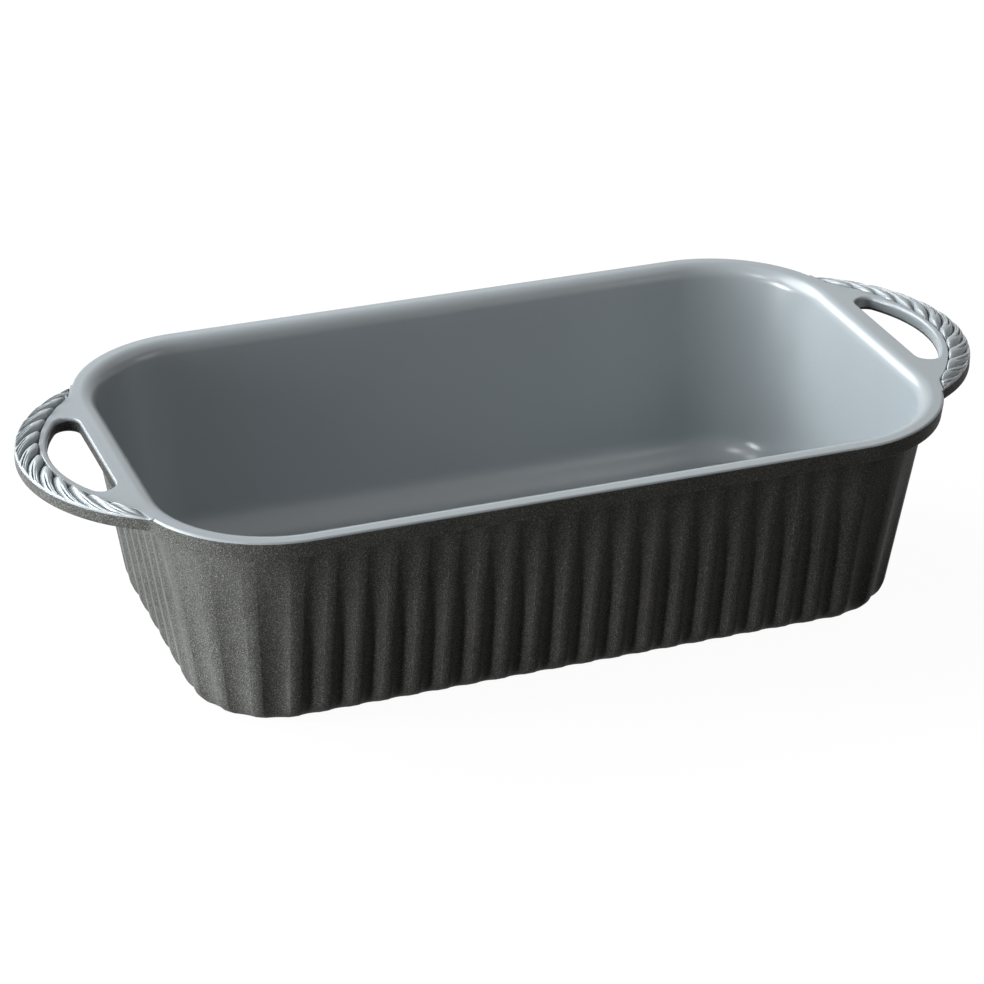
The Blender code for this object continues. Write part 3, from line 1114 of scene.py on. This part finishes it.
def grain_group() -> bpy.types.NodeTree:
    """Build the fine sandy grain of a sprayed coat.

    Returns:
        A group that gives light flecks and the height of the grain.
    """
    sketch, grains, outside = new_group("sprayed_grain", "Grains", 2500.0, ("Flecks", "Height"))
    fine = sketch.texture("ShaderNodeTexNoise", grains, Detail=3.0, Roughness=0.65).outputs["Fac"]
    cells = sketch.texture("ShaderNodeTexVoronoi", grains).outputs["Distance"]
    flecks = sketch.spread(fine, ins=(0.48, 0.70))
    pits = sketch.spread(cells, ins=(0.0, 0.8), outs=(0.0, 0.35))
    sketch.fill(outside, {"Flecks": flecks, "Height": sketch.calc("SUBTRACT", fine, pits)})
    return sketch.tree


def drift_group() -> bpy.types.NodeTree:
    """Build the slow change of tone over a sprayed coat.

    Returns:
        A group that gives a value from 0 to 1.
    """
    sketch, patches, outside = new_group("coat_drift", "Patches", 30.0, ("Tone",))
    slow = sketch.texture("ShaderNodeTexNoise", patches, Detail=2.0).outputs["Fac"]
    sketch.fill(outside, {"Tone": sketch.spread(slow, ins=(0.15, 0.85))})
    return sketch.tree


@dataclass(frozen=True)
class CoatFinish:
    """Finish of one sprayed coat."""

    name: str
    dark: Triple
    light: Triple
    flecked: float
    roughness: Pair
    specular: float
    grains: float
    relief: float
    relief_depth: float
    patches: float

    def material(self, grain: bpy.types.NodeTree, drift: bpy.types.NodeTree) -> bpy.types.Material:
        """Build the coat's material.

        Args:
            grain: Group that gives flecks and their height.
            drift: Group that gives the slow change of tone.

        Returns:
            The new material.
        """
        material = bpy.data.materials.new(self.name)
        material.use_nodes = True
        sketch = NodeSketch(material.node_tree)
        grained = sketch.add("ShaderNodeGroup", {"Grains": self.grains}, node_tree=grain).outputs
        drifting = sketch.add("ShaderNodeGroup", {"Patches": self.patches}, node_tree=drift).outputs
        tones = {0: self.flecked, 2: drifting["Tone"], 3: grained["Flecks"]}
        share = sketch.add("ShaderNodeMix", tones, data_type="FLOAT").outputs[0]
        bumps = {"Strength": self.relief, "Distance": self.relief_depth, "Height": grained["Height"]}
        looks = {
            "Specular IOR Level": self.specular,
            "Base Color": sketch.blend(share, self.dark, self.light),
            "Roughness": sketch.spread(share, (0.0, 1.0), self.roughness),
            "Normal": sketch.add("ShaderNodeBump", bumps).outputs["Normal"],
        }
        sketch.fill(material.node_tree.nodes["Principled BSDF"], looks)
        return material


SMOOTH_COAT = CoatFinish(
    name="smooth_satin_coat",
    dark=(0.238, 0.262, 0.278),
    light=(0.268, 0.294, 0.311),
    flecked=0.25,
    roughness=(0.24, 0.26),
    specular=0.48,
    grains=3500.0,
    relief=0.05,
    relief_depth=0.00004,
    patches=18.0,
)
TEXTURED_COAT = CoatFinish(
    name="textured_sprayed_coat",
    dark=(0.030, 0.031, 0.030),
    light=(0.215, 0.217, 0.212),
    flecked=0.85,
    roughness=(0.48, 0.58),
    specular=0.02,
    grains=3200.0,
    relief=0.35,
    relief_depth=0.00012,
    patches=40.0,
)


# Studio

@dataclass(frozen=True)
class Softbox:
    """Rectangular soft light aimed at the pan."""

    name: str
    place: Triple
    aim: Triple
    size: Pair
    watts: float
    colour: Triple
    spread: float = 180.0

    def build(self) -> None:
        """Hang the light and point it."""
        lamp = bpy.data.lights.new(self.name, "AREA")
        lamp.shape = "RECTANGLE"
        lamp.size, lamp.size_y = self.size
        lamp.energy = self.watts
        lamp.color = self.colour
        lamp.spread = math.radians(self.spread)
        holder = link(self.name, lamp)
        holder.location = self.place
        way = Vector(self.aim) - Vector(self.place)
        holder.rotation_euler = way.to_track_quat("-Z", "Y").to_euler()


COOL = (0.94, 0.985, 1.0)
WARM = (1.0, 0.97, 0.94)
WARMER = (1.0, 0.97, 0.92)
WARMEST = (1.0, 0.96, 0.92)
LIGHTS = (
    Softbox("key", (-0.98, 1.22, 1.25), (0.0, 0.0, 0.04), (1.90, 1.40), 76.0, COOL),
    Softbox("side", (-1.00, 0.02, 0.33), (0.0, 0.0, 0.05), (0.25, 0.25), 5.6, COOL),
    Softbox("low", (-1.00, 0.14, 0.12), (0.0, 0.0, 0.05), (0.25, 0.25), 11.0, COOL),
    Softbox("front", (-0.50, -0.21, 0.045), (0.0, -0.08, 0.05), (0.06, 0.06), 1.9, WARMER),
    Softbox("fill", (0.42, -0.38, 0.36), (0.0, 0.05, 0.04), (0.25, 0.25), 0.52, WARMEST),
    Softbox("over", (-0.18, -0.045, 0.36), (0.05, 0.07, 0.04), (0.10, 0.10), 0.048, WARM, spread=60.0),
    Softbox("top", (0.70, 0.02, 0.95), (0.0, 0.0, 0.04), (0.5, 0.5), 0.9, WARM),
)


@dataclass
class Studio:
    """Floor, surroundings and lights."""

    floor_size: float = 8.0
    floor_colour: Triple = (0.05, 0.05, 0.05)
    floor_glow: float = 0.96
    dim: float = 0.02
    lights: Sequence[Softbox] = LIGHTS

    def floor(self) -> None:
        """Lay the floor, which looks white away from the pan's shadow."""
        half = self.floor_size / 2
        corners = [(-half, -half, 0), (half, -half, 0), (half, half, 0), (-half, half, 0)]
        data = bpy.data.meshes.new("floor")
        data.from_pydata(corners, [], [(0, 1, 2, 3)])
        material = bpy.data.materials.new("studio_floor")
        material.use_nodes = True
        material.node_tree.nodes.clear()
        sketch = NodeSketch(material.node_tree)
        matt = sketch.add("ShaderNodeBsdfDiffuse", {"Color": (*self.floor_colour, 1.0)}).outputs[0]
        glow = sketch.add("ShaderNodeEmission", {"Strength": self.floor_glow}).outputs[0]
        both = sketch.add("ShaderNodeAddShader", {0: matt, 1: glow}).outputs[0]
        pick = sketch.add("ShaderNodeMixShader", {0: self.seen(sketch), 1: matt, 2: both}).outputs[0]
        sketch.add("ShaderNodeOutputMaterial", {"Surface": pick})
        data.materials.append(material)
        floor = link("floor", data)

    @staticmethod
    def seen(sketch: NodeSketch) -> Socket:
        """Tell rays that show the background from those that carry light.

        Args:
            sketch: Tree that asks.

        Returns:
            An output of 1 for camera, glossy and transmission rays.
        """
        path = sketch.add("ShaderNodeLightPath").outputs
        direct = sketch.calc("MAXIMUM", path["Is Camera Ray"], path["Is Glossy Ray"])
        return sketch.calc("MAXIMUM", direct, path["Is Transmission Ray"])

    def surroundings(self) -> None:
        """Make the world white to look at and dim as a light."""
        world = bpy.data.worlds.new("studio")
        bpy.context.scene.world = world
        world.use_nodes = True
        sketch = NodeSketch(world.node_tree)
        strength = sketch.spread(self.seen(sketch), (0.0, 1.0), (self.dim, 1.0))
        white = (1.0, 1.0, 1.0, 1.0)
        sketch.fill(world.node_tree.nodes["Background"], {"Color": white, "Strength": strength})

    def build(self) -> None:
        """Build the whole studio."""
        self.floor()
        self.surroundings()
        for light in self.lights:
            light.build()


@dataclass(frozen=True)
class Viewpoint:
    """Camera at the photograph's angle."""

    azimuth: float = math.radians(-20.588)
    elevation: float = math.radians(27.023)
    roll: float = math.radians(0.268)
    distance: float = 0.929693
    aim: Pair = (-0.028207, -0.062902)
    focal_pixels: float = 3308.13
    image_pixels: int = 984
    sensor: float = 36.0

    def build(self, height: float) -> None:
        """Set up the camera.

        Args:
            height: Height of the point that it aims at.
        """
        level = math.cos(self.elevation)
        level_way = math.sin(self.azimuth) * level, -math.cos(self.azimuth) * level
        back = Vector((*level_way, math.sin(self.elevation)))
        right = Vector((0, 0, 1)).cross(back).normalized()
        up = back.cross(right)
        turned_right = right * math.cos(self.roll) + up * math.sin(self.roll)
        turned_up = up * math.cos(self.roll) - right * math.sin(self.roll)
        camera = bpy.data.cameras.new("camera")
        camera.sensor_width = self.sensor
        camera.lens = self.focal_pixels / self.image_pixels * self.sensor
        holder = link("camera", camera)
        turn = Matrix((turned_right, turned_up, back)).transposed().to_4x4()
        spot = Vector((*self.aim, height)) + back * self.distance
        holder.matrix_world = Matrix.Translation(spot) @ turn
        bpy.context.scene.camera = holder


def main() -> None:
    """Build the pan's pieces, then the studio and the camera."""
    logging.basicConfig(level=logging.INFO, format="%(name)s: %(message)s")
    bpy.context.scene.view_settings.view_transform = "Standard"
    sizes = PanSizes.from_frame()
    grain, drift = grain_group(), drift_group()
    materials = [finish.material(grain, drift) for finish in (SMOOTH_COAT, TEXTURED_COAT)]
    FlutedTub(sizes, materials).build()
    Rim(sizes, materials).build()
    CavityCoat(sizes, materials).build()
    plan, seat = HandlePlan(sizes), SeatLevels()
    for end in End:
        LoopHandle(sizes, materials, plan, seat, SMOOTH_FLANK[end]).build(end)
        RopeMoulding(sizes, materials, plan, seat).build(end)
    Studio().build()
    Viewpoint().build(sizes.height)


if __name__ == "__main__":
    main()
